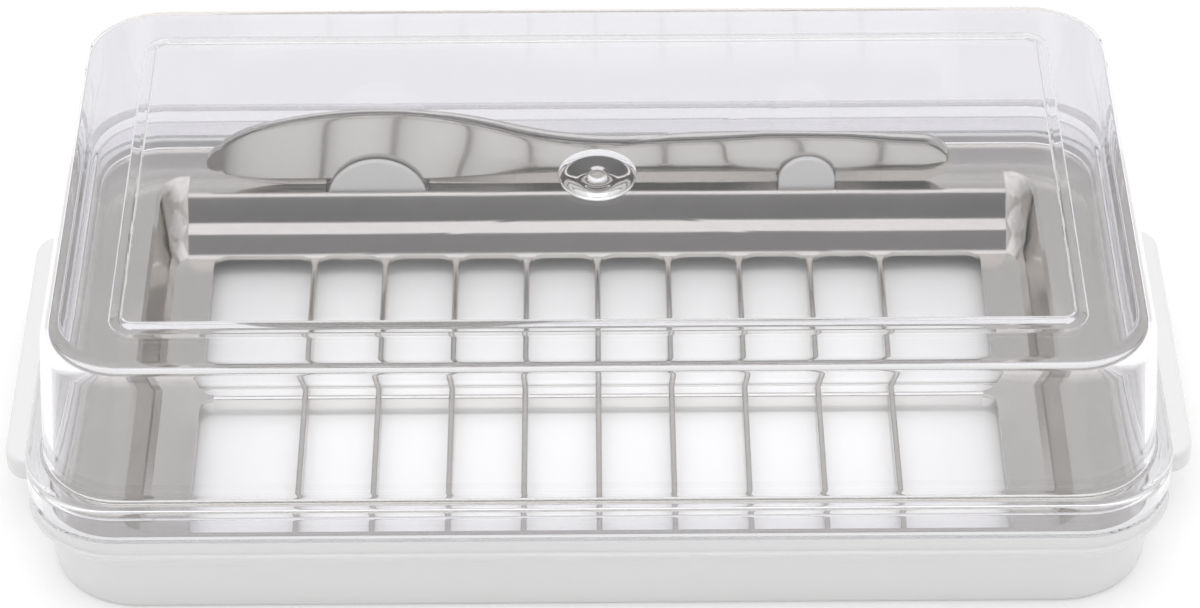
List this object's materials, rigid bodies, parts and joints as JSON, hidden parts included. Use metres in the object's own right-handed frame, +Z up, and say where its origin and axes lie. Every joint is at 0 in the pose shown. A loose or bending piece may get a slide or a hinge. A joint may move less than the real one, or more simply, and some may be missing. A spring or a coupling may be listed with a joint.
{
  "type": "butter dish with cutter",
  "caption": "Butter dish with a white tray and end grips, a clear lid with a lip, a sunk steel cutting grid that portions a block of butter, and an upright butter knife.",
  "frame": {"origin": "on the resting surface, under the middle of the tray", "axes": "+X along the long side, from the knife's tip to its handle end; +Y from the front to the side where the knife stands; +Z up"},
  "size_m": [0.178, 0.097, 0.0449],
  "materials": {
    "white_plastic": "glossy white moulding",
    "clear_plastic": "clear, glossy on both sides",
    "cutter_steel": "pressed stainless steel sheet, bright",
    "knife_steel": "polished stainless steel"
  },
  "bodies": {
    "tray": {"base": "white_plastic"},
    "cover": {"lid": "clear_plastic"},
    "cutter": {"cutter_frame": "cutter_steel", "long_blade": "cutter_steel", "cutting_blade_1": "cutter_steel", "cutting_blade_2": "cutter_steel", "cutting_blade_3": "cutter_steel", "cutting_blade_4": "cutter_steel", "cutting_blade_5": "cutter_steel", "cutting_blade_6": "cutter_steel", "cutting_blade_7": "cutter_steel", "cutting_blade_8": "cutter_steel", "cutting_blade_9": "cutter_steel"},
    "knife": {"butter_knife": "knife_steel"}
  },
  "joints": [
    {"name": "lid_lift", "type": "slide", "parent": "tray", "child": "cover", "axis": [0, 0, 1], "range_m": [0, 0.12]},
    {"name": "cutter_lift", "type": "slide", "parent": "tray", "child": "cutter", "axis": [0, 0, 1], "range_m": [0, 0.03]},
    {"name": "knife_lift", "type": "slide", "parent": "cutter", "child": "knife", "axis": [0, 0, 1], "range_m": [0, 0.042]}
  ],
  "couplings": [
    {"joint": "cutter_lift", "follows": "lid_lift", "ratio": 0.25},
    {"joint": "knife_lift", "follows": "lid_lift", "ratio": 0.35}
  ]
}
